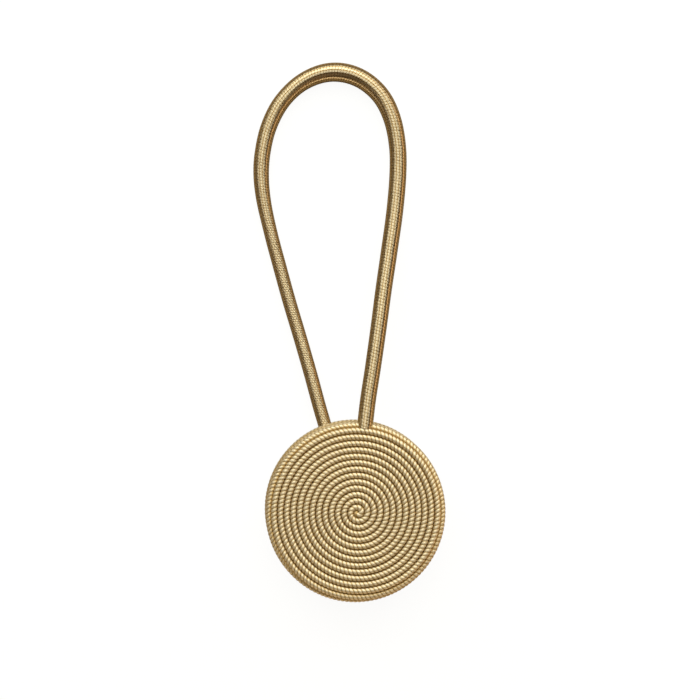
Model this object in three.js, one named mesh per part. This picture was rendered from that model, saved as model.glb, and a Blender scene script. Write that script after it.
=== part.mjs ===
// A magnetic curtain tieback, lying on its back on a table.
//
// Two round buttons are held one on the other by the magnets inside them. Each is wound with one
// long twisted cord: a flat spiral over its face, then turns that step over a rounded edge and go
// on down the wall. A stiff rope, itself wound with fine cord, makes one loop from the wall of the
// back button to the wall of the front one. The gathered curtain goes through that loop.
//
// Sizes are millimetres. +Z is up, out of the wound face of the front button, and +Y runs from the
// buttons to the far end of the loop. The origin is the middle of the face on which the back
// button rests.

import * as THREE from 'three';
import { mergeVertices } from 'three/addons/utils/BufferGeometryUtils.js';

// The two buttons
const BUTTON_RADIUS = 27.6;
const BUTTON_THICKNESS = 8;
const EDGE_RADIUS = 3.2;
const BUTTON_GAP = 0.3;
const FRONT_BUTTON_X = 0.5;
const FRONT_BUTTON_Y = -0.4;

// The cord that is wound over them
const CORD_DIAMETER = 2;
const TURN_PITCH = 1.94;
const FIRST_TURN_RADIUS = 1.25;
const CORD_END_RADIUS = 0.9;
const FRONT_SPIRAL_X = 0.7;
const FRONT_SPIRAL_Y = 0.4;

// How finely a button is cut up: the columns round it, and for each turn of cord the places of
// its rows, from 0 in the groove before the turn, over 0.5 on its crest, to 1 in the next groove.
// The back button rests on its crests, so they are pressed flat between their two flanks.
const COLUMNS = 48;
const FRONT_ROWS = [0, 0.25, 0.5, 0.75];
const BACK_ROWS = [0, 0.25, 0.75];
const SHORTEST_STEP = 0.2;

// The rope: the route of its middle, from the back button round the loop to the front button.
// It leaves each button square to the wall, comes down to the table and lies there.
const ROPE_SIDES = 10;
const ROPE_STEPS = 72;
const ROPE_ROUTE = [
  { x: -9.15, y: 26.4, z: 4 },
  { x: -10.9, y: 32.4, z: 4 },
  { x: -13.4, y: 41.6, z: 3.4 },
  { x: -16.7, y: 53, z: 2.5 },
  { x: -20, y: 64, z: 2.05 },
  { x: -22.9, y: 74.5, z: 2.05 },
  { x: -25.7, y: 85, z: 2.1 },
  { x: -28, y: 95.4, z: 2.15 },
  { x: -28.8, y: 103.5, z: 2.35 },
  { x: -28.3, y: 110.8, z: 2.45 },
  { x: -26.4, y: 118.6, z: 2.5 },
  { x: -22.6, y: 126, z: 2.5 },
  { x: -16.8, y: 131.8, z: 2.6 },
  { x: -9.8, y: 135, z: 2.8 },
  { x: -3, y: 135.2, z: 2.9 },
  { x: 3.4, y: 132.7, z: 2.85 },
  { x: 8.7, y: 127.7, z: 2.75 },
  { x: 12, y: 120.8, z: 2.65 },
  { x: 13.6, y: 112.4, z: 2.6 },
  { x: 13.7, y: 103.4, z: 2.65 },
  { x: 12.7, y: 92, z: 3.6 },
  { x: 11, y: 79.9, z: 5.7 },
  { x: 9.2, y: 67.8, z: 8 },
  { x: 7.6, y: 55.9, z: 10.2 },
  { x: 5.9, y: 44, z: 11.8 },
  { x: 4.4, y: 34.3, z: 12.3 },
  { x: 3.55, y: 27.35, z: 12.3 },
];

// How thick the rope is at parts of its length: it swells where it is bent round the loop's end.
const ROPE_THICKNESS = [
  { along: 0, thickness: 4.4 },
  { along: 0.25, thickness: 4.45 },
  { along: 0.35, thickness: 5.3 },
  { along: 0.43, thickness: 5.35 },
  { along: 0.52, thickness: 6.2 },
  { along: 0.66, thickness: 5.5 },
  { along: 1, thickness: 5.15 },
];

const GOLD = { color: 0xc9a76b, roughness: 0.42, metalness: 0.25 };
const FLAT_RADIUS = BUTTON_RADIUS - EDGE_RADIUS;
const BEND_RADIUS = EDGE_RADIUS - CORD_DIAMETER / 2;
const BEND_LENGTH = BEND_RADIUS * Math.PI / 2;
const FOOT_REACH = FLAT_RADIUS + BEND_LENGTH + BUTTON_THICKNESS - EDGE_RADIUS;

// Where the middle of the cord lies when it is this far from the middle of the button, measured
// over the face, the rounded edge and the wall, and which way is out of the button there.
function cordSeat(reach) {
  if (reach <= FLAT_RADIUS) {
    return { r: reach, z: BUTTON_THICKNESS - CORD_DIAMETER / 2, outR: 0, outZ: 1 };
  }
  const turned = Math.min((reach - FLAT_RADIUS) / BEND_RADIUS, Math.PI / 2);
  const down = Math.max(reach - FLAT_RADIUS - BEND_LENGTH, 0);
  return {
    r: FLAT_RADIUS + BEND_RADIUS * Math.sin(turned),
    z: BUTTON_THICKNESS - EDGE_RADIUS + BEND_RADIUS * Math.cos(turned) - down,
    outR: Math.sin(turned),
    outZ: Math.cos(turned),
  };
}

// Lays a point of the flat winding onto the button, the given depth below the cord's crests.
function layOnButton(x, y, depth) {
  const reach = Math.hypot(x, y);
  const seat = cordSeat(reach);
  const out = CORD_DIAMETER / 2 - depth;
  const radius = seat.r + seat.outR * out;
  return new THREE.Vector3(radius * x / reach, radius * y / reach, seat.z + seat.outZ * out);
}

// How far the round cord's surface lies below its crest at a place across the turn.
function fallFromCrest(place) {
  const half = CORD_DIAMETER / 2;
  return half - Math.sqrt(half ** 2 - (TURN_PITCH * (place - 0.5)) ** 2);
}

// How far it is from the spiral's middle to the foot of the wall, in one direction.
function reachToFoot(angle, spiral) {
  const ahead = spiral.x * Math.cos(angle) + spiral.y * Math.sin(angle);
  return Math.sqrt(FOOT_REACH ** 2 - spiral.x ** 2 - spiral.y ** 2 + ahead ** 2) - ahead;
}

// One button, wound face up on z = BUTTON_THICKNESS, plain face down on z = 0. Its rows follow the
// cord outwards, so that after one turn round each row meets the same row of the next turn.
function woundButton(rows, spiral) {
  const highest = Math.min(...rows.map(fallFromCrest));
  const grooveDepth = fallFromCrest(0) - highest;
  const turns = Math.ceil((FOOT_REACH + 2 * TURN_PITCH) / TURN_PITCH) + 1;
  const lastRow = turns * rows.length - 1;

  function point(column, row) {
    const place = rows[row % rows.length];
    const turn = Math.floor(row / rows.length) - 1 + place - 0.5 + column / COLUMNS;
    const angle = 2 * Math.PI * column / COLUMNS;
    const foot = reachToFoot(angle, spiral);
    let radius = FIRST_TURN_RADIUS + TURN_PITCH * turn;
    let depth = fallFromCrest(place) - highest;
    if (radius < CORD_END_RADIUS + SHORTEST_STEP) {
      radius = CORD_END_RADIUS;
      depth = 0;
    }
    if (radius > foot - SHORTEST_STEP) {
      radius = foot;
      depth = grooveDepth;
    }
    return layOnButton(
      spiral.x + radius * Math.cos(angle), spiral.y + radius * Math.sin(angle), depth);
  }

  const corners = [];
  const middle = new THREE.Vector3(spiral.x, spiral.y, BUTTON_THICKNESS);
  const underside = new THREE.Vector3(0, 0, 0);
  for (let column = 0; column < COLUMNS; column += 1) {
    addTriangle(corners, middle, point(column, 0), point(column + 1, 0));
    for (let row = 0; row < lastRow; row += 1) {
      const near = point(column, row);
      const far = point(column, row + 1);
      const nextFar = point(column + 1, row + 1);
      const nextNear = point(column + 1, row);
      addTriangle(corners, near, far, nextFar);
      addTriangle(corners, near, nextFar, nextNear);
    }
    addTriangle(corners, underside, point(column + 1, lastRow), point(column, lastRow));
  }
  return closedGeometry(corners);
}

// Adds a triangle unless two of its corners fall on one point.
function addTriangle(corners, a, b, c) {
  const least = 1e-3;
  if (a.distanceTo(b) > least && b.distanceTo(c) > least && c.distanceTo(a) > least) {
    corners.push(a, b, c);
  }
}

function closedGeometry(corners) {
  const loose = new THREE.BufferGeometry().setFromPoints(corners);
  const geometry = mergeVertices(loose, 1e-3);
  geometry.computeVertexNormals();
  return geometry;
}

// The rope's thickness at a share of its length, eased from one row of the table to the next.
function ropeThickness(share) {
  const next = Math.max(1, ROPE_THICKNESS.findIndex((row) => row.along >= share));
  const from = ROPE_THICKNESS[next - 1];
  const to = ROPE_THICKNESS[next];
  const eased = THREE.MathUtils.smoothstep(share, from.along, to.along);
  return THREE.MathUtils.lerp(from.thickness, to.thickness, eased);
}

// A round rope along the route, as thick as the table says, and flat where it lies on the table.
function ropeLoop() {
  const route = new THREE.CatmullRomCurve3(
    ROPE_ROUTE.map((at) => new THREE.Vector3(at.x, at.y, at.z)));
  const section = new THREE.Shape(
    Array.from({ length: ROPE_SIDES }, (_, side) => {
      const angle = 2 * Math.PI * (side + 0.5) / ROPE_SIDES;
      return new THREE.Vector2(Math.cos(angle), Math.sin(angle));
    }));
  const geometry = new THREE.ExtrudeGeometry(section, {
    steps: ROPE_STEPS, extrudePath: route, bevelEnabled: false });

  const middles = route.getSpacedPoints(ROPE_STEPS);
  const corners = geometry.getAttribute('position');
  const corner = new THREE.Vector3();
  for (let index = 0; index < corners.count; index += 1) {
    corner.fromBufferAttribute(corners, index);
    const distances = middles.map((middle) => middle.distanceTo(corner));
    const step = distances.indexOf(Math.min(...distances));
    const radius = ropeThickness(step / ROPE_STEPS) / 2;
    corner.sub(middles[step]).setLength(radius).add(middles[step]);
    corners.setXYZ(index, corner.x, corner.y, Math.max(corner.z, 0));
  }
  geometry.computeVertexNormals();
  return geometry;
}

function sewnPiece(name, geometry) {
  const piece = new THREE.Mesh(geometry, new THREE.MeshStandardMaterial(GOLD));
  piece.name = name;
  return piece;
}

const discBack = sewnPiece('disc_back', woundButton(BACK_ROWS, { x: 0, y: 0 }));
discBack.rotation.y = Math.PI;
discBack.position.z = BUTTON_THICKNESS;

const discFront = sewnPiece(
  'disc_front', woundButton(FRONT_ROWS, { x: FRONT_SPIRAL_X, y: FRONT_SPIRAL_Y }));
discFront.position.set(FRONT_BUTTON_X, FRONT_BUTTON_Y, BUTTON_THICKNESS + BUTTON_GAP);

const tieback = new THREE.Group();
tieback.add(discBack, discFront, sewnPiece('rope_loop', ropeLoop()));

export default tieback;
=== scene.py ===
# %% [markdown]
# # A magnetic curtain tieback
#
# The real thing has three pieces that show. Two round buttons hold each other by the magnets inside
# them, and each is wound with one long twisted cord, in a flat spiral over its face and then down
# its wall. A stiff rope runs from the wall of one button to the wall of the other in one loop, and
# the gathered curtain goes through that loop. The rope is itself wound with finer cord.
#
# Nearly all that the eye sees is cord, so this lesson is about cord: how one curve, one section and
# a twist make it, and how it is laid in a spiral or wound round a rope.

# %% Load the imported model
import math

import bmesh
import bpy
import numpy as np
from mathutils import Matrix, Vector, noise


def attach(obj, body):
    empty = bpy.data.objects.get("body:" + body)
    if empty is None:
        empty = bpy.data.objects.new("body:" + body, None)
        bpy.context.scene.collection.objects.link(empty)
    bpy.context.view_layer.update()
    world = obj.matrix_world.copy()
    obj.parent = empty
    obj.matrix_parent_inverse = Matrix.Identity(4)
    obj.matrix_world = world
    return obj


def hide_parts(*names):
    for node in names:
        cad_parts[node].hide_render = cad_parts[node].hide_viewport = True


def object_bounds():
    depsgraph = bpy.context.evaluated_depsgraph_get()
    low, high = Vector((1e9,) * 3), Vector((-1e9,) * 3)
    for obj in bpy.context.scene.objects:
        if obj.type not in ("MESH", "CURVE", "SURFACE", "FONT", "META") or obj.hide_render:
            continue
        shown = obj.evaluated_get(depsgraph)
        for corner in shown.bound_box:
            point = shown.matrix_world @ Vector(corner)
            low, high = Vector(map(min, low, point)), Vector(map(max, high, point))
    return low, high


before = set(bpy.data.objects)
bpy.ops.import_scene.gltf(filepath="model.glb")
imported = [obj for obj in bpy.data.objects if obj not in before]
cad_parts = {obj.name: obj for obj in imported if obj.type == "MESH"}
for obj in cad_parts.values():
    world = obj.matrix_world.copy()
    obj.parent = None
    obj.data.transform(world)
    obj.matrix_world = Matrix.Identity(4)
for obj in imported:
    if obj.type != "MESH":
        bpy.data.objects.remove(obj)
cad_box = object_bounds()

MM = 0.001
FULL_TURN = 2 * math.pi
scene = bpy.context.scene

print("the packed model measures", [round(x / MM, 1) for x in cad_box[1] - cad_box[0]], "mm")

# %% [markdown]
# ## The camera
#
# The tieback lies on its back and is seen from straight above, with the buttons at the bottom of
# the picture. A camera that isn't turned looks down its own -Z, so it only has to be lifted. Its
# lens is worked out from the distance and from how wide the picture is at the front button's face.

# %% Camera
PICTURE_MIDDLE_X = -1.17 * MM
PICTURE_MIDDLE_Y = 49.1 * MM
CAMERA_DISTANCE = 600 * MM
PICTURE_WIDTH = 212.8 * MM
SENSOR_WIDTH = 36.0

camera_data = bpy.data.cameras.new("camera")
camera_data.sensor_width = SENSOR_WIDTH
camera_data.lens = SENSOR_WIDTH * CAMERA_DISTANCE / PICTURE_WIDTH
camera = bpy.data.objects.new("camera", camera_data)
camera.location = (PICTURE_MIDDLE_X, PICTURE_MIDDLE_Y, cad_box[1].z + CAMERA_DISTANCE)
scene.collection.objects.link(camera)
scene.camera = camera

print("lens", round(camera_data.lens, 1), "mm")

# %% [markdown]
# ## The route of the rope
#
# The rope is stiff and keeps its shape. It comes straight out of the back button's wall, goes down
# to the table, lies there round the wide end of the loop, and climbs again to the edge of the front
# button, which is one button higher. There it lies over the outer turns of cord. A few listed points
# give the route, in millimetres, and a smooth curve through them gives every place between.
#
# Both ends are made a little longer here than the route, so that they go in between the turns of
# cord on the buttons and no gap shows there.

# %% Rope route
ROPE_ROUTE = [
    (-9.15, 26.4, 4), (-10.9, 32.4, 4), (-13.4, 41.6, 3.4), (-16.7, 53, 2.5), (-20, 64, 2.05),
    (-22.9, 74.5, 2.05), (-25.7, 85, 2.1), (-28, 95.4, 2.15), (-28.8, 103.5, 2.35),
    (-28.3, 110.8, 2.45), (-26.4, 118.6, 2.5), (-22.6, 126, 2.5), (-16.8, 131.8, 2.6),
    (-9.8, 135, 2.8), (-3, 135.2, 2.9), (3.4, 132.7, 2.85), (8.7, 127.7, 2.75),
    (12, 120.8, 2.65), (13.6, 112.4, 2.6), (13.7, 103.4, 2.65), (12.7, 92, 3.6),
    (11, 79.9, 5.7), (9.2, 67.8, 8), (7.6, 55.9, 10.2), (5.9, 44, 11.8), (4.4, 34.3, 12.7),
    (3.55, 27.35, 13.4),
]
STEPS_BETWEEN_POINTS = 12
HIDDEN_END = 2.5 * MM
STATIONS = 481


def between(before, start, end, after, share):
    """A place between start and end on a smooth curve that also goes through their neighbours."""
    bend = 2 * before - 5 * start + 4 * end - after
    turn = 3 * start - before - 3 * end + after
    return start + ((end - before) * share + bend * share**2 + turn * share**3) / 2


def smooth_route(points, steps):
    """A curve through the points. One more point before and after them keeps its ends straight."""
    knots = [2 * points[0] - points[1], *points, 2 * points[-1] - points[-2]]
    route = [
        between(*knots[i:i + 4], step / steps)
        for i in range(len(points) - 1)
        for step in range(steps)
    ]
    return np.array([*route, points[-1]])


def lengthened(route, extra):
    """The route with a straight piece of this length added at each end."""
    start = route[0] - route[1]
    end = route[-1] - route[-2]
    first = route[0] + start * extra / np.linalg.norm(start)
    last = route[-1] + end * extra / np.linalg.norm(end)
    return np.vstack([first, route, last])


def lengths_along(route):
    steps = np.linalg.norm(np.diff(route, axis=0), axis=1)
    return np.concatenate([[0], np.cumsum(steps)])


def at_lengths(lengths, known_lengths, known_values):
    """The rows of a table of values at other lengths."""
    columns = [np.interp(lengths, known_lengths, column) for column in known_values.T]
    return np.stack(columns, axis=1)


route = smooth_route(np.array(ROPE_ROUTE) * MM, STEPS_BETWEEN_POINTS)
route = lengthened(route, HIDDEN_END)
route_lengths = lengths_along(route)
rope_length = route_lengths[-1]
stations = np.linspace(0, rope_length, STATIONS)
rope_middle = at_lengths(stations, route_lengths, route)

print("rope", round(rope_length / MM), "mm long with its hidden ends")

# %% [markdown]
# The rope swells where it is bent round the wide end of the loop, and it is thinnest on the leg
# that goes to the back button. At each station we also want two directions square to the rope,
# one level and one upwards. With those three things any point can be given as a length along the
# rope, an angle round it and a height above its middle.

# %% Rope thickness and directions
ROPE_THICKNESS = [
    # share of the length, thickness
    (0.00, 4.20 * MM),
    (0.25, 4.25 * MM),
    (0.35, 4.95 * MM),
    (0.43, 5.20 * MM),
    (0.52, 6.00 * MM),
    (0.66, 5.30 * MM),
    (1.00, 4.90 * MM),
]


def eased(share, table):
    """The table's value at each share, eased from one of its rows to the next."""
    shares, values = np.array(table).T
    row = np.clip(np.searchsorted(shares, share) - 1, 0, len(shares) - 2)
    step = (share - shares[row]) / (shares[row + 1] - shares[row])
    step = np.clip(step, 0, 1)
    step = step * step * (3 - 2 * step)
    return values[row] + (values[row + 1] - values[row]) * step


def unit(vectors):
    return vectors / np.linalg.norm(vectors, axis=1)[:, None]


def share_of_rope(lengths):
    """Where these lengths lie between the two ends that show, from 0 to 1."""
    return np.clip((lengths - HIDDEN_END) / (rope_length - 2 * HIDDEN_END), 0, 1)


rope_radius = eased(share_of_rope(stations), ROPE_THICKNESS) / 2
rope_forward = unit(np.gradient(rope_middle, axis=0))
rope_level = unit(np.cross(rope_forward, (0, 0, 1)))
rope_upward = np.cross(rope_level, rope_forward)

thinnest = round(2 * rope_radius.min() / MM, 1)
thickest = round(2 * rope_radius.max() / MM, 1)
print("rope", thinnest, "to", thickest, "mm thick")

# %% [markdown]
# ## From a curve to a cord
#
# A cord is a tube: a curve with a circle swept along it. Real cord isn't smooth, because it is
# twisted from strands. Between two strands runs a dip, and the dips wind round the cord as a screw
# thread does. So for every point of the tube we count strands: going round the cord passes all its
# strands, and so does going along it for one lay. Wherever that count is a whole number there is a
# dip, and the point moves in. Halfway to the next dip it stays on the strand's back.
#
# The curve is made a mesh first, since its points get moved. They come ring by ring, so each one's
# ring and angle are known. The two ends are left open by the sweep and are closed afterwards.

# %% Tubes and their points
def linked(name, data):
    piece = bpy.data.objects.new(name, data)
    scene.collection.objects.link(piece)
    return piece


def circle_section(sides):
    curve = bpy.data.curves.new("section", "CURVE")
    curve.dimensions = "2D"
    outline = curve.splines.new("POLY")
    outline.points.add(sides - 1)
    for step, point in enumerate(outline.points):
        angle = FULL_TURN * step / sides
        point.co = (math.cos(angle), math.sin(angle), 0, 1)
    outline.use_cyclic_u = True
    return linked("section", curve)


def tube(name, sides, lines):
    """Sweeps a circle along each line, which is a list of ring middles and a list of ring sizes."""
    section = circle_section(sides)
    curve = bpy.data.curves.new(name, "CURVE")
    curve.dimensions = "3D"
    curve.twist_mode = "MINIMUM"
    curve.bevel_mode = "OBJECT"
    curve.bevel_object = section
    for middles, sizes in lines:
        spline = curve.splines.new("POLY")
        spline.points.add(len(middles) - 1)
        spline.points.foreach_set("co", np.column_stack([middles, np.ones(len(middles))]).ravel())
        spline.points.foreach_set("radius", sizes)
    line = linked(name + "_line", curve)
    bpy.context.view_layer.update()
    shape = line.evaluated_get(bpy.context.evaluated_depsgraph_get())
    mesh = bpy.data.meshes.new_from_object(shape)
    mesh.name = name
    bpy.data.objects.remove(line)
    bpy.data.objects.remove(section)
    return linked(name, mesh)


def close_ends(piece):
    """Closes the open ends, turns the faces outwards and shades them smooth."""
    bm = bmesh.new()
    bm.from_mesh(piece.data)
    open_edges = [edge for edge in bm.edges if edge.is_boundary]
    bmesh.ops.holes_fill(bm, edges=open_edges, sides=0)
    bmesh.ops.recalc_face_normals(bm, faces=bm.faces)
    for face in bm.faces:
        face.smooth = True
    bm.to_mesh(piece.data)
    bm.free()


def triangles(piece):
    return sum(len(face.vertices) - 2 for face in piece.data.polygons)


def points_of(piece):
    points = np.empty(3 * len(piece.data.vertices))
    piece.data.vertices.foreach_get("co", points)
    return points.reshape(-1, 3)


def set_points(piece, points):
    piece.data.vertices.foreach_set("co", points.ravel())
    piece.data.update()


# %% [markdown]
# Three things about a cord's points are needed again by its finish, so they are written down on the
# mesh. A map called strand holds the length along the cord and the strand count. A map is kept for
# every corner of every face, so the count may go on where the tube closes on itself. A number
# called depth says for each point how deep it lies in the wound surface, and the finish paints
# shade in the grooves by it.

# %% Strands and notes for the finish
def press_strands(piece, middles, count, dip):
    """Moves each point inwards, by the share dip between two strands, by nothing on a strand's back."""
    back = np.sqrt(np.abs(np.sin(math.pi * count)))
    keep = 1 - dip * (1 - back)
    set_points(piece, middles + (points_of(piece) - middles) * keep[:, None])


def corner_points(mesh):
    """The number of the point that each corner of each face stands on."""
    corners = np.empty(len(mesh.loops), dtype=int)
    mesh.loops.foreach_get("vertex_index", corners)
    return corners


def add_map(mesh, name, u, v):
    new_map = mesh.uv_layers.new(name=name)
    new_map.data.foreach_set("uv", np.column_stack([u, v]).ravel())


def add_strand_map(piece, sides, lengths, counts, strands):
    """lengths and counts hold a value for each ring; the count also grows round the ring."""
    corners = corner_points(piece.data)
    swept_map = np.empty(2 * len(corners))
    piece.data.uv_layers[0].data.foreach_get("uv", swept_map)
    around = swept_map.reshape(-1, 2)[:, 1]
    ring = corners // sides
    add_map(piece.data, "strand", lengths[ring], counts[ring] + strands * around)


def add_depths(piece, depth):
    noted = piece.data.attributes.new("depth", "FLOAT", "POINT")
    noted.data.foreach_set("value", np.clip(depth, 0, 1))


# %% [markdown]
# ## The core of the rope
#
# Under the fine cord the rope is a plain, slightly swelling tube. Only a trace of it shows, deep
# between the turns, but it closes the rope, and it has the rope's real route and length. The fine
# cord is pressed nearly flat on it, least where the rope is thin and most round the wide end, so the
# core ends a little below the rope's outside. Where the rope lies on the table, the core's underside
# is kept a hair above it.

# %% Rope core
FINE_CORD_HEIGHT = [
    # share of the length, how high the pressed fine cord stands on the core
    (0.00, 0.17 * MM),
    (0.22, 0.15 * MM),
    (0.36, 0.08 * MM),
    (0.64, 0.08 * MM),
    (1.00, 0.14 * MM),
]
CORE_SIDES = 16
CORE_LIFT = 0.02 * MM

# How far the core lies below the rope's outside, as a share of the fine cord's height
CORE_DEPTH = 0.75

every_third = slice(None, None, 3)
fine_height = eased(share_of_rope(stations), FINE_CORD_HEIGHT)
core_line = rope_middle[every_third]
core_sizes = (rope_radius - CORE_DEPTH * fine_height)[every_third]
rope_core = tube("rope_core", CORE_SIDES, [(core_line, core_sizes)])
core_points = points_of(rope_core)
core_points[:, 2] = np.maximum(core_points[:, 2], CORE_LIFT)
set_points(rope_core, core_points)
close_ends(rope_core)

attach(rope_core, "root")
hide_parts("rope_loop")

print("core", triangles(rope_core), "triangles")

# %% [markdown]
# ## The fine cord round the rope
#
# Three fine cords are wound round the rope side by side, turn against turn. On the thin leg the
# turns are finest, and round the wide end and on the other leg they are wider. Each cord starts a
# third of a turn after the one before. So with 16.5 strands in a turn a cord's strands land halfway
# between its neighbour's, and read as beads set like bricks, as on the thin leg. With 18 they land in
# step and line up in columns along the rope, as on the other leg.
#
# Winding in space would be awkward, so the cords are first drawn on the flat: along the rope is X,
# round the rope is Y. They are swept there, pressed to their real height, and the whole sheet is
# then rolled round the rope. Each point finds the nearest station's directions and goes out along
# its own angle.

# %% Turns of the fine cord
FINE_CORDS = 3
TURN_PITCH = [
    # share of the length, distance from one turn to the next
    (0.00, 0.72 * MM),
    (0.24, 0.76 * MM),
    (0.36, 0.96 * MM),
    (0.50, 0.90 * MM),
    (0.62, 0.94 * MM),
    (1.00, 1.02 * MM),
]
STRANDS_PER_TURN = [
    # share of the length, strands that show in one turn round the rope
    (0.00, 16.5),
    (0.26, 16.5),
    (0.27, 18.0),
    (1.00, 18.0),
]
FINE_SIDES = 8
FINE_STRANDS = 1
FINE_RING_STEP = 0.38 * MM
FINE_SAMPLES = 40001

# The turns are drawn a little wider than their pitch, so that no gap is left between them
FINE_OVERLAP = 1.06

# The flat sheet is as wide as a rope of this radius is round, which is near the real rope's
SHEET_RADIUS = 2.3 * MM


def running_total(rates, lengths):
    """What a changing rate adds up to from the start to each of the lengths."""
    middles = (rates[1:] + rates[:-1]) / 2
    return np.concatenate([[0], np.cumsum(middles * np.diff(lengths))])


def fine_cord_rings(start_angle):
    """The rings of one fine cord on the flat sheet: middles, sizes, lengths and strand counts."""
    along = np.linspace(0, rope_length, FINE_SAMPLES)
    pitch = eased(share_of_rope(along), TURN_PITCH)
    angle = running_total(FULL_TURN / (FINE_CORDS * pitch), along)
    count = running_total(eased(share_of_rope(along), STRANDS_PER_TURN), angle / FULL_TURN)
    reach = np.interp(along, stations, rope_radius)
    cord_length = running_total(np.hypot(reach * np.gradient(angle, along), 1), along)
    rings = int(cord_length[-1] / FINE_RING_STEP)
    even = np.linspace(0, cord_length[-1], rings)
    place = np.interp(even, cord_length, along)
    turned = np.interp(even, cord_length, angle) + start_angle
    middles = np.column_stack([place, turned * SHEET_RADIUS, np.zeros(rings)])
    sizes = np.interp(even, cord_length, pitch) * FINE_OVERLAP / 2
    return middles, sizes, even, np.interp(even, cord_length, count)


def rolled_round_rope(points, rise):
    """Rolls the sheet round the rope; rise is 0 at the foot of the pressed cord and 1 on its crest."""
    along = np.clip(points[:, 0], 0, rope_length)
    angle = (points[:, 1] / SHEET_RADIUS)[:, None]
    height = np.interp(along, stations, fine_height)
    reach = np.interp(along, stations, rope_radius) - height * (1 - rise)
    level = at_lengths(along, stations, rope_level) * np.cos(angle)
    upward = at_lengths(along, stations, rope_upward) * np.sin(angle)
    placed = at_lengths(along, stations, rope_middle) + reach[:, None] * (level + upward)
    placed[:, 2] = np.maximum(placed[:, 2], 0)
    return placed


fine_cords = [fine_cord_rings(FULL_TURN * cord / FINE_CORDS) for cord in range(FINE_CORDS)]
fine_lines = [(middles, sizes) for middles, sizes, _, _ in fine_cords]
_, fine_sizes, fine_lengths, fine_counts = (np.concatenate(values) for values in zip(*fine_cords))
rope_winding = tube("rope_winding", FINE_SIDES, fine_lines)

flat = points_of(rope_winding)
rise = (1 + flat[:, 2] / np.repeat(fine_sizes, FINE_SIDES)) / 2
groove_depth = 2 * (1 - rise)  # 1 from halfway down, where two turns touch
add_strand_map(rope_winding, FINE_SIDES, fine_lengths, fine_counts, FINE_STRANDS)
sheet = flat[corner_points(rope_winding.data)]
add_map(rope_winding.data, "sheet", sheet[:, 1] / SHEET_RADIUS, sheet[:, 0] / SHEET_RADIUS)
add_depths(rope_winding, groove_depth)
set_points(rope_winding, rolled_round_rope(flat, rise))
close_ends(rope_winding)

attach(rope_winding, "root")

fine_total = sum(lengths[-1] for _, _, lengths, _ in fine_cords)
print(round(fine_total, 2), "m of fine cord,", triangles(rope_winding), "triangles")

# %% [markdown]
# ## The body of a button
#
# Under its cord a button is a thick disc with a rounded edge, and its plain face is the one that
# the magnet pulls to the other button. It is one outline turned once round: half the section is
# drawn from the middle of the plain face, up the wall, over the edge and back to the middle of the
# wound face, and spin does the rest. Spin leaves the first and last line on each other, which
# use_merge closes.

# %% Button bodies
BUTTON_RADIUS = 27.6 * MM
BUTTON_THICKNESS = 8 * MM
EDGE_RADIUS = 3.2 * MM
CORD_RADIUS = 1 * MM
BODY_DEPTH = 1.3 * CORD_RADIUS
FLAT_RADIUS = BUTTON_RADIUS - EDGE_RADIUS
WALL_HEIGHT = BUTTON_THICKNESS - EDGE_RADIUS
BODY_EDGE = EDGE_RADIUS - BODY_DEPTH
EDGE_STEPS = 6
SPIN_STEPS = 96
SAME_POINT = 0.001 * MM


def button_outline():
    """Half the section of the body, as radii and heights, with a quarter circle for its edge."""
    wall = FLAT_RADIUS + BODY_EDGE
    outline = [(0, 0), (wall, 0), (wall, WALL_HEIGHT)]
    for step in range(1, EDGE_STEPS + 1):
        angle = math.pi / 2 * step / EDGE_STEPS
        radius = FLAT_RADIUS + BODY_EDGE * math.cos(angle)
        height = WALL_HEIGHT + BODY_EDGE * math.sin(angle)
        outline.append((radius, height))
    outline.append((0, WALL_HEIGHT + BODY_EDGE))
    return outline


def button_body(name, placed):
    bm = bmesh.new()
    corners = [bm.verts.new((x, 0, z)) for x, z in button_outline()]
    lines = [bm.edges.new(pair) for pair in zip(corners, corners[1:])]
    bmesh.ops.spin(
        bm, geom=corners + lines, cent=(0, 0, 0), axis=(0, 0, 1), angle=FULL_TURN,
        steps=SPIN_STEPS, use_merge=True)
    bmesh.ops.remove_doubles(bm, verts=bm.verts, dist=SAME_POINT)
    bmesh.ops.recalc_face_normals(bm, faces=bm.faces)
    mesh = bpy.data.meshes.new(name)
    bm.to_mesh(mesh)
    bm.free()
    body = linked(name, mesh)
    set_points(body, placed(points_of(body)))
    return body


# %% [markdown]
# The back button lies with its wound face on the table. The front one lies on it the other way up,
# a hair to one side, as the magnets have taken hold of each other. So both are made wound face up
# at the origin and then put in place by one of these two functions.

# %% Places of the two buttons
MIDDLE_GAP = 0.3 * MM
FRONT_PLACE = np.array([0.5 * MM, -0.4 * MM, BUTTON_THICKNESS + MIDDLE_GAP])


def in_front(points):
    return points + FRONT_PLACE


def at_back(points):
    half_turn_about_y = np.array([-1, 1, -1])
    return points * half_turn_about_y + np.array([0, 0, BUTTON_THICKNESS])


body_front = button_body("button_front", in_front)
body_back = button_body("button_back", at_back)

print("button body", triangles(body_front), "triangles")

# %% [markdown]
# ## The cord on a button
#
# The cord starts tucked in at the middle and runs outwards in a spiral. Where it comes to the
# rounded edge it goes on over it and down the wall. A flat spiral is easy, so its distance from the
# middle is measured over the surface: on the face that is simply the radius, on the edge it is the
# arc, on the wall it is the way down. cord_seat turns such a distance into a radius and a height.
# At the foot of the wall the cord makes nearly one more turn that is level and slips in behind the
# turn before it, as the end of a real winding does, so that no bare wall shows.
#
# Hand winding is never quite even, so a little smooth noise shifts the turns, and it is the same
# noise each time. The cord has two strands and a short lay, which is why it reads as rows of beads,
# and its rings lie so that each bead has the same number of them.

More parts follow.
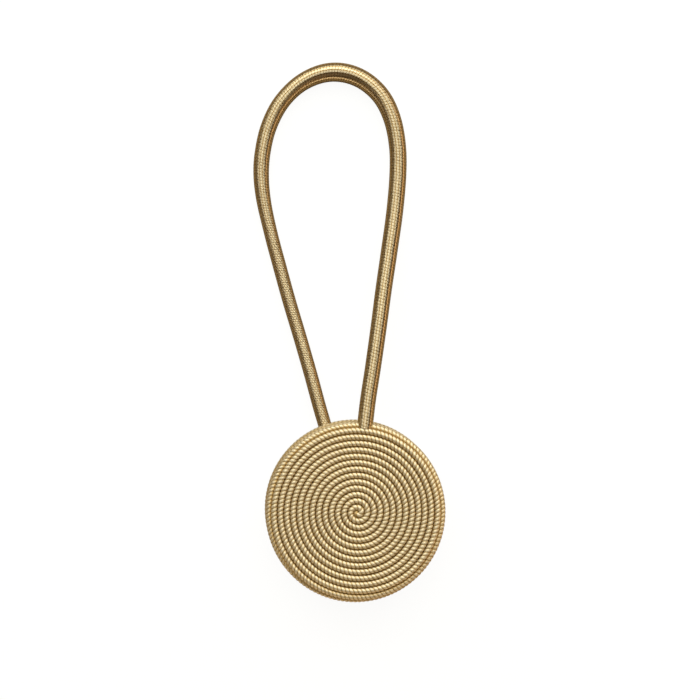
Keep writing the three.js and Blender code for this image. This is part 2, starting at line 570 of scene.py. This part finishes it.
# %% Cord seat and spiral
SPIRAL_PITCH = 1.94 * MM
FIRST_TURN = 1.15 * MM
SMALLEST_TURN = 0.12 * MM
TUCKED_ANGLE = -1.2 * math.pi
TUCK_DEPTH = 0.8 * MM
LAST_TURN_SHARE = 0.9
LAST_TURN_TUCK = 0.6 * MM

# The way of the cord's middle over the rounded edge, and how far out it gets at the foot of the wall
BEND_RADIUS = EDGE_RADIUS - CORD_RADIUS
BEND_LENGTH = BEND_RADIUS * math.pi / 2
LOWEST_MIDDLE = 0.97 * CORD_RADIUS
LAST_REACH = FLAT_RADIUS + BEND_LENGTH + WALL_HEIGHT - LOWEST_MIDDLE

# Unevenness of the winding: its size, its waves in a radian, and which layer of the noise it reads
UNEVEN_SIDEWAYS = 0.05 * MM
SIDEWAYS_WAVES = 0.9
SIDEWAYS_LAYER = 0
UNEVEN_HEIGHT = 0.04 * MM
HEIGHT_WAVES = 1.3
HEIGHT_LAYER = 5

# How closely the spiral is sampled, and the radius inside which its steps in angle grow no more
SPIRAL_SAMPLE = 0.1 * MM
LEAST_SAMPLED_TURN = 0.5 * MM


def cord_seat(reach):
    """The radius and height of the cord's middle where it is this far out over the surface."""
    if reach <= FLAT_RADIUS:
        return reach, BUTTON_THICKNESS - CORD_RADIUS
    turned = min((reach - FLAT_RADIUS) / BEND_RADIUS, math.pi / 2)
    down = max(reach - FLAT_RADIUS - BEND_LENGTH, 0)
    radius = FLAT_RADIUS + BEND_RADIUS * math.sin(turned)
    height = WALL_HEIGHT + BEND_RADIUS * math.cos(turned) - down
    return radius, height


def uneven(size, waves, angle, seed, layer):
    return size * noise.noise(Vector((waves * angle, seed, layer)))


def spiral_line(middle_x, middle_y, seed):
    """The way of the cord on one button, from its tucked start to one level turn at the foot."""
    line = []
    angle = TUCKED_ANGLE
    while True:
        radius = max(FIRST_TURN + SPIRAL_PITCH * angle / FULL_TURN, SMALLEST_TURN)
        radius += uneven(UNEVEN_SIDEWAYS, SIDEWAYS_WAVES, angle, seed, SIDEWAYS_LAYER)
        x = middle_x + radius * math.cos(angle)
        y = middle_y + radius * math.sin(angle)
        spread = math.hypot(x, y)
        last_turn = max(spread - LAST_REACH, 0) / SPIRAL_PITCH
        if last_turn > LAST_TURN_SHARE:
            return np.array(line)
        ring, height = cord_seat(min(spread, LAST_REACH))
        ring -= LAST_TURN_TUCK * last_turn
        height += uneven(UNEVEN_HEIGHT, HEIGHT_WAVES, angle, seed, HEIGHT_LAYER)
        height -= TUCK_DEPTH * (min(angle, 0) / TUCKED_ANGLE) ** 2
        line.append((ring * x / spread, ring * y / spread, height))
        angle += SPIRAL_SAMPLE / max(radius, LEAST_SAMPLED_TURN)


print("the cord goes", round(LAST_REACH / MM, 1), "mm out over the face, the edge and the wall")

# %% Windings of the two buttons
CORD_SIDES = 12
CORD_STRANDS = 2
STRAND_STEP = 1.26 * MM
STRAND_DIP = 0.24
RING_STEP = STRAND_STEP / 6
FRONT_SPIRAL_MIDDLE = (0.6 * MM, 0)
BACK_SPIRAL_MIDDLE = (0, 0)


def depth_on_button(points):
    """How far below the button's rounded outside a point lies, as a share of the cord's radius."""
    past_flat = np.maximum(np.hypot(points[:, 0], points[:, 1]) - FLAT_RADIUS, 0)
    past_shoulder = np.maximum(points[:, 2] - WALL_HEIGHT, 0)
    return (EDGE_RADIUS - np.hypot(past_flat, past_shoulder)) / CORD_RADIUS


def button_winding(name, spiral_middle, seed, placed):
    line = spiral_line(*spiral_middle, seed)
    line_lengths = lengths_along(line)
    rings = int(line_lengths[-1] / RING_STEP)
    lengths = RING_STEP * np.arange(rings)
    middles = at_lengths(lengths, line_lengths, line)
    counts = lengths / STRAND_STEP

    winding = tube(name, CORD_SIDES, [(middles, np.full(rings, CORD_RADIUS))])
    add_strand_map(winding, CORD_SIDES, lengths, counts, CORD_STRANDS)
    around = CORD_STRANDS * np.tile(np.arange(CORD_SIDES) / CORD_SIDES, rings)
    count = np.repeat(counts, CORD_SIDES) + around
    press_strands(winding, np.repeat(middles, CORD_SIDES, axis=0), count, STRAND_DIP)
    add_depths(winding, depth_on_button(points_of(winding)))
    set_points(winding, placed(points_of(winding)))
    close_ends(winding)
    print(name, round(lengths[-1], 2), "m of cord,", triangles(winding), "triangles")
    return winding


winding_front = button_winding("winding_front", FRONT_SPIRAL_MIDDLE, seed=1, placed=in_front)
winding_back = button_winding("winding_back", BACK_SPIRAL_MIDDLE, seed=2, placed=at_back)

for piece in (body_front, body_back, winding_front, winding_back):
    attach(piece, "root")
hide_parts("disc_front")
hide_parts("disc_back")

# %% [markdown]
# ## The finish of the cord
#
# The cord is spun from satin yarn in pale champagne gold. Each strand is a bundle of fine filaments
# that lie nearly along the cord, so it shines like metal, but softly. Deep between the strands and the
# rows the colour is painted browner and darker, as painted shade for light that bounces from yarn to
# yarn.
#
# The pattern has to follow the cord, so it reads the strand map. Its second number is whole in each
# dip, so the cosine of a full turn times that number is 1 there and -1 on a strand's back; the dips
# get a painted shade. The depth that was written on the points tells where the grooves between two
# rows are, and there the colour gets another painted shade. Noise that is drawn out along the cord
# and narrow across it gives filaments, both in the colour and, as bump, in the surface. A slower
# noise lets one stretch of yarn be a little lighter than the next.

# %% Yarn finish
# Waves of the noise in a metre of cord and across one strand
FILAMENT_WAVES = (450, 18)
SLOW_WAVES = (110, 1)

# What the colour is multiplied by, at the noise's darkest and at its lightest
FILAMENT_SHADES = ((0.82, 0.80, 0.76, 1), (1.12, 1.12, 1.12, 1))
SLOW_SHADES = ((0.9, 0.9, 0.88, 1), (1.08, 1.07, 1.06, 1))

DIP_START = 0.2
RELIEF_STRENGTH = 0.5


def srgb(red, green, blue):
    """A colour as a screen shows it, from 0 to 255, in the linear numbers that shaders use."""
    shares = [value / 255 for value in (red, green, blue)]
    linear = [x / 12.92 if x < 0.04045 else ((x + 0.055) / 1.055) ** 2.4 for x in shares]
    return (*linear, 1)


def node(tree, kind, **settings):
    made = tree.nodes.new(kind)
    for name, value in settings.items():
        setattr(made, name, value)
    return made


def feed(tree, socket, value):
    """Links another node's output to the socket, or sets the socket to a number or a colour."""
    if isinstance(value, bpy.types.NodeSocket):
        tree.links.new(value, socket)
    else:
        socket.default_value = value


def math_node(tree, operation, *inputs):
    made = node(tree, "ShaderNodeMath", operation=operation)
    for socket, value in zip(made.inputs, inputs):
        feed(tree, socket, value)
    return made.outputs[0]


def new_finish(name, roughness, metallic):
    finish = bpy.data.materials.new(name)
    finish.use_nodes = True
    shader = finish.node_tree.nodes["Principled BSDF"]
    shader.inputs["Roughness"].default_value = roughness
    shader.inputs["Metallic"].default_value = metallic
    return finish, finish.node_tree, shader


def stretched_noise(tree, along, count, waves):
    """Noise on the strand map, with so many waves in a metre of cord and across one strand."""
    place = node(tree, "ShaderNodeCombineXYZ")
    tree.links.new(math_node(tree, "MULTIPLY", along, waves[0]), place.inputs[0])
    tree.links.new(math_node(tree, "MULTIPLY", count, waves[1]), place.inputs[1])
    made = node(tree, "ShaderNodeTexNoise")
    made.inputs["Scale"].default_value = 1
    made.inputs["Detail"].default_value = 2
    tree.links.new(place.outputs[0], made.inputs["Vector"])
    return made.outputs[0]


def mixed(tree, share, first, second, blend="MIX"):
    """Mixes two colours. A Mix node has an A and a B for each kind of value: 6 and 7 are for colours."""
    made = node(tree, "ShaderNodeMix", data_type="RGBA", blend_type=blend)
    feed(tree, made.inputs[0], share)
    feed(tree, made.inputs[6], first)
    feed(tree, made.inputs[7], second)
    return made.outputs[2]


def ramp(tree, value, start, end):
    """0 up to start, 1 from end on, and eased between them."""
    made = node(tree, "ShaderNodeMapRange", interpolation_type="SMOOTHSTEP")
    made.inputs["From Min"].default_value = start
    made.inputs["From Max"].default_value = end
    tree.links.new(value, made.inputs["Value"])
    return made.outputs[0]


def add_relief(tree, shader, height, strength, distance):
    bump = node(tree, "ShaderNodeBump")
    bump.inputs["Strength"].default_value = strength
    bump.inputs["Distance"].default_value = distance
    tree.links.new(height, bump.inputs["Height"])
    tree.links.new(bump.outputs[0], shader.inputs["Normal"])


def shine_across(tree, shader, map_name, amount, rotation):
    """Makes the shine sharp along one direction on the map and soft across it."""
    shader.inputs["Anisotropic"].default_value = amount
    shader.inputs["Anisotropic Rotation"].default_value = rotation
    direction = node(tree, "ShaderNodeTangent", direction_type="UV_MAP", uv_map=map_name)
    tree.links.new(direction.outputs[0], shader.inputs["Tangent"])


def yarn_finish(name, pale, dip_shade_colour, groove_shade_colour, groove_shade_depths, relief, hairs, roughness, metallic):
    """Satin yarn: pale strands, painted shade in the dips and the grooves, filaments and slow changes.
    """
    finish, tree, shader = new_finish(name, roughness, metallic)
    strand_map = node(tree, "ShaderNodeUVMap", uv_map="strand")
    split = node(tree, "ShaderNodeSeparateXYZ")
    tree.links.new(strand_map.outputs[0], split.inputs[0])
    along, count = split.outputs[0], split.outputs[1]

    dip = math_node(tree, "COSINE", math_node(tree, "MULTIPLY", count, FULL_TURN))
    in_dip = ramp(tree, dip, DIP_START, 1)
    depth = node(tree, "ShaderNodeAttribute", attribute_name="depth").outputs["Fac"]
    groove_shade_share = ramp(tree, depth, *groove_shade_depths)
    filaments = stretched_noise(tree, along, count, FILAMENT_WAVES)
    slow = stretched_noise(tree, along, count, SLOW_WAVES)

    # Painted shade: the dips between strands are mixed towards a darker brown.
    colour = mixed(tree, in_dip, pale, dip_shade_colour)
    # Painted shade: the grooves between rows and turns, found by the depth, are mixed towards another
    # brown.
    colour = mixed(tree, groove_shade_share, colour, groove_shade_colour)
    colour = mixed(tree, 1, colour, mixed(tree, filaments, *FILAMENT_SHADES), "MULTIPLY")
    colour = mixed(tree, 1, colour, mixed(tree, slow, *SLOW_SHADES), "MULTIPLY")
    tree.links.new(colour, shader.inputs["Base Color"])

    strand_backs = math_node(tree, "SUBTRACT", math_node(tree, "MULTIPLY", filaments, hairs), in_dip)
    add_relief(tree, shader, strand_backs, RELIEF_STRENGTH, relief)
    return finish, tree, shader


# The dip and groove colours here are painted shade, not the yarn's own colour.
button_yarn, tree, shader = yarn_finish(
    "button_yarn", pale=srgb(222, 209, 176), dip_shade_colour=srgb(170, 146, 94),
    groove_shade_colour=srgb(190, 160, 100), groove_shade_depths=(0.12, 0.75), relief=0.03 * MM, hairs=0.25,
    roughness=0.55, metallic=0.6)
shine_across(tree, shader, "strand", amount=0.5, rotation=0.25)

print("button yarn:", len(tree.nodes), "nodes")

# %% [markdown]
# The fine cord of the rope is pressed smooth by the winding, and its filaments run round the rope.
# Such a surface shines sharply one way and softly the other, which gives the pale band along the top
# of the rope and the dark brown ones beside it. A shader does this with anisotropy, and the direction
# comes from the sheet map, whose first number goes round the rope and whose second goes along it.

# %% Rope finish
# The dip and groove colours here are painted shade, not the yarn's own colour.
rope_yarn, tree, shader = yarn_finish(
    "rope_yarn", pale=srgb(210, 196, 162), dip_shade_colour=srgb(156, 126, 72),
    groove_shade_colour=srgb(138, 104, 50), groove_shade_depths=(0.35, 0.8), relief=0.008 * MM, hairs=0.05,
    roughness=0.42, metallic=0.95)
shine_across(tree, shader, "sheet", amount=1.0, rotation=0.25)

print("rope yarn:", len(tree.nodes), "nodes")

# %% [markdown]
# What lies under the cord is wrapped in brown yarn on the rope and is a brown moulded disc in the
# buttons. It shows in the narrow gaps, and on the buttons' plain faces if they are pulled apart. A
# fine grain in colour and bump is enough.

# %% Core finish
GRAIN_STRENGTH = 0.4
GRAIN_HEIGHT = 0.05 * MM


def core_finish(name, colour, darker, grain, roughness):
    """A dull surface with so many specks of grain in a metre."""
    finish, tree, shader = new_finish(name, roughness, metallic=0)
    place = node(tree, "ShaderNodeTexCoord")
    speckle = node(tree, "ShaderNodeTexNoise")
    speckle.inputs["Scale"].default_value = grain
    speckle.inputs["Detail"].default_value = 4
    tree.links.new(place.outputs["Object"], speckle.inputs["Vector"])
    tree.links.new(mixed(tree, speckle.outputs[0], darker, colour), shader.inputs["Base Color"])
    add_relief(tree, shader, speckle.outputs[0], GRAIN_STRENGTH, GRAIN_HEIGHT)
    return finish


moulded_disc = core_finish(
    "moulded_disc", colour=srgb(122, 88, 48), darker=srgb(84, 58, 30), grain=900, roughness=0.6)
rope_lining = core_finish(
    "rope_lining", colour=srgb(120, 82, 40), darker=srgb(80, 52, 24), grain=2500, roughness=0.7)

for winding in (winding_front, winding_back):
    winding.data.materials.append(button_yarn)
for body in (body_front, body_back):
    body.data.materials.append(moulded_disc)
rope_winding.data.materials.append(rope_yarn)
rope_core.data.materials.append(rope_lining)

print("finishes:", button_yarn.name, rope_yarn.name, moulded_disc.name, rope_lining.name)

# %% [markdown]
# ## The floor
#
# The tieback was photographed on plain white, and hardly any shadow is left in the picture. The floor
# is one large square, just under the back button. The camera sees it glow white, so hardly any shadow
# shows. For all other rays it is a dull brown that throws a little warm light up at the rope's sides,
# because a white floor would light the rope from below until its dark sides were gone.

# %% Floor
FLOOR_HALF_WIDTH = 3
FLOOR_DROP = 0.05 * MM
FLOOR_GLOW = (1, 1, 0.99, 1)
FLOOR_GLOW_STRENGTH = 0.94
FLOOR_SEEN = (0.08, 0.08, 0.08, 1)
FLOOR_FOR_OTHER_RAYS = (0.36, 0.27, 0.155, 1)

floor_mesh = bpy.data.meshes.new("floor")
bm = bmesh.new()
bmesh.ops.create_grid(bm, x_segments=1, y_segments=1, size=FLOOR_HALF_WIDTH)
bmesh.ops.translate(bm, verts=bm.verts, vec=(0, 0, -FLOOR_DROP))
bm.to_mesh(floor_mesh)
bm.free()
floor = linked("floor", floor_mesh)

floor_paper, tree, shader = new_finish("floor_paper", roughness=0.95, metallic=0)
shader.inputs["Specular IOR Level"].default_value = 0
seen = node(tree, "ShaderNodeLightPath").outputs["Is Camera Ray"]
paper = mixed(tree, seen, FLOOR_FOR_OTHER_RAYS, FLOOR_SEEN)
glow = math_node(tree, "MULTIPLY", seen, FLOOR_GLOW_STRENGTH)
tree.links.new(paper, shader.inputs["Base Color"])
tree.links.new(glow, shader.inputs["Emission Strength"])
shader.inputs["Emission Color"].default_value = FLOOR_GLOW
floor_mesh.materials.append(floor_paper)

print("floor", 2 * FLOOR_HALF_WIDTH, "m wide")

# %% [markdown]
# ## The light
#
# The light in the picture comes mostly from beyond the top edge: the upper flank of every row on the
# button shines, its lower flank is brown, and the rope's outer side is bright at the wide end of the
# loop. One wide soft panel stands there. A second one hangs overhead, so that the bright band on the
# rope fades slowly. Two weak, warm ones stand low: one at the foot, for the buttons' lower rim and
# the inside of the bend, and one at the right, for the orange edge of the legs. The room adds a faint
# warm light from all sides, so that no groove turns black.

# %% Lights
ROOM_COLOUR = (1, 0.7, 0.42, 1)
ROOM_STRENGTH = 0.125


def panel(name, place, width, height, power, colour):
    """A soft rectangular light, turned towards the middle of the tieback."""
    light = bpy.data.lights.new(name, "AREA")
    light.color = colour
    light.shape = "RECTANGLE"
    light.size = width
    light.size_y = height
    light.energy = power
    lamp = linked(name, light)
    lamp.location = place
    aim = Vector(place) - Vector((0, PICTURE_MIDDLE_Y, 0))
    lamp.rotation_euler = aim.to_track_quat("Z", "Y").to_euler()


panel("key_panel", (0, 0.92, 0.55), width=2.2, height=0.8, power=20, colour=(0.99, 1, 0.97))
panel("top_panel", (0, 0.35, 0.95), width=1.2, height=0.6, power=5, colour=(1, 1, 0.97))
panel("foot_panel", (-0.05, -0.95, 0.1), width=1.6, height=0.3, power=4.5, colour=(1, 0.78, 0.55))
panel("side_panel", (0.9, 0, 0.12), width=0.8, height=0.25, power=1.6, colour=(1, 0.6, 0.3))

world = bpy.data.worlds.new("room")
world.use_nodes = True
room = world.node_tree.nodes["Background"]
room.inputs["Color"].default_value = ROOM_COLOUR
room.inputs["Strength"].default_value = ROOM_STRENGTH
scene.world = world
scene.view_settings.view_transform = "Standard"

print(len(bpy.data.lights), "soft panels")
